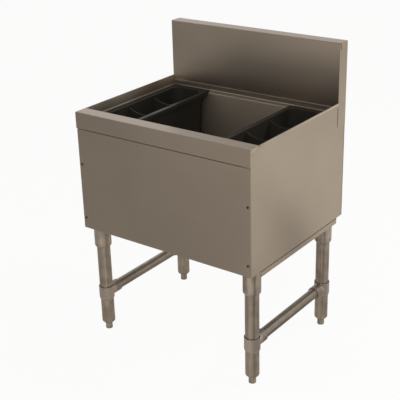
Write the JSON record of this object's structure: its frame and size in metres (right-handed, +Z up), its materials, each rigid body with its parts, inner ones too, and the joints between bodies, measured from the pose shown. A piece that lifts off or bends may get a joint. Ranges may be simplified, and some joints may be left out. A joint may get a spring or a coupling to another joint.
{
  "type": "underbar ice chest",
  "caption": "Brushed stainless underbar ice chest with a backsplash, an insulated bin, lift-out black bottle wells and braced tubular legs on adjustable feet.",
  "frame": {"origin": "on the floor, midway between the two sides and between the apron's face and the splash's back", "axes": "+X to the right as seen from the front, +Y to the back, +Z up"},
  "size_m": [0.6096, 0.5104, 0.9144],
  "materials": {
    "stainless_sheet": "satin",
    "stainless_tube": "satin",
    "cast_fitting": "matte",
    "fastener_steel": "satin",
    "drain_metal": "satin",
    "black_plastic": "satin",
    "foam": "matte",
    "gasket_rubber": "matte"
  },
  "bodies": {
    "chest": {"front_apron": "stainless_sheet", "front_panel": "stainless_sheet", "side_panel_right": "stainless_sheet", "side_panel_left": "stainless_sheet", "backsplash": "stainless_sheet", "back_panel": "stainless_sheet", "base_pan": "stainless_sheet", "leg_channel_right": "stainless_sheet", "leg_channel_left": "stainless_sheet", "liner_floor": "stainless_sheet", "liner_wall_front": "stainless_sheet", "liner_wall_back": "stainless_sheet", "liner_wall_left": "stainless_sheet", "liner_wall_right": "stainless_sheet", "cross_rail_right": "stainless_tube", "cross_rail_left": "stainless_tube", "leg_socket_front_left": "stainless_tube", "leg_socket_front_right": "stainless_tube", "leg_socket_back_left": "stainless_tube", "leg_socket_back_right": "stainless_tube", "leg_tube_front_left": "stainless_tube", "leg_tube_front_right": "stainless_tube", "leg_tube_back_left": "stainless_tube", "leg_tube_back_right": "stainless_tube", "foot_insert_front_left": "stainless_tube", "foot_insert_front_right": "stainless_tube", "foot_insert_back_left": "stainless_tube", "foot_insert_back_right": "stainless_tube", "brace_tee_front_left": "cast_fitting", "brace_tee_front_right": "cast_fitting", "brace_tee_back_left": "cast_fitting", "brace_tee_back_right": "cast_fitting", "panel_screws": "fastener_steel", "panel_weld_nuts": "fastener_steel", "tee_set_screws": "fastener_steel", "socket_set_screws": "fastener_steel", "drain_body": "drain_metal", "drain_locknut": "drain_metal", "drain_strainer": "drain_metal", "insulation": "foam", "drain_gasket": "gasket_rubber"},
    "bottle_well_left": {"bottle_well_left": "black_plastic"},
    "bottle_well_right": {"bottle_well_right": "black_plastic"},
    "foot_front_left": {"adjustable_foot_front_left": "stainless_tube"},
    "foot_front_right": {"adjustable_foot_front_right": "stainless_tube"},
    "foot_back_left": {"adjustable_foot_back_left": "stainless_tube"},
    "foot_back_right": {"adjustable_foot_back_right": "stainless_tube"}
  },
  "joints": [
    {"name": "lift_bottle_well_left", "type": "slide", "parent": "chest", "child": "bottle_well_left", "axis": [0, 0, 1], "range_m": [0, 0.28]},
    {"name": "lift_bottle_well_right", "type": "slide", "parent": "chest", "child": "bottle_well_right", "axis": [0, 0, 1], "range_m": [0, 0.28]},
    {"name": "screw_foot_front_left", "type": "slide", "parent": "chest", "child": "foot_front_left", "axis": [0, 0, -1], "range_m": [0, 0.025]},
    {"name": "screw_foot_front_right", "type": "slide", "parent": "chest", "child": "foot_front_right", "axis": [0, 0, -1], "range_m": [0, 0.025]},
    {"name": "screw_foot_back_left", "type": "slide", "parent": "chest", "child": "foot_back_left", "axis": [0, 0, -1], "range_m": [0, 0.025]},
    {"name": "screw_foot_back_right", "type": "slide", "parent": "chest", "child": "foot_back_right", "axis": [0, 0, -1], "range_m": [0, 0.025]}
  ]
}
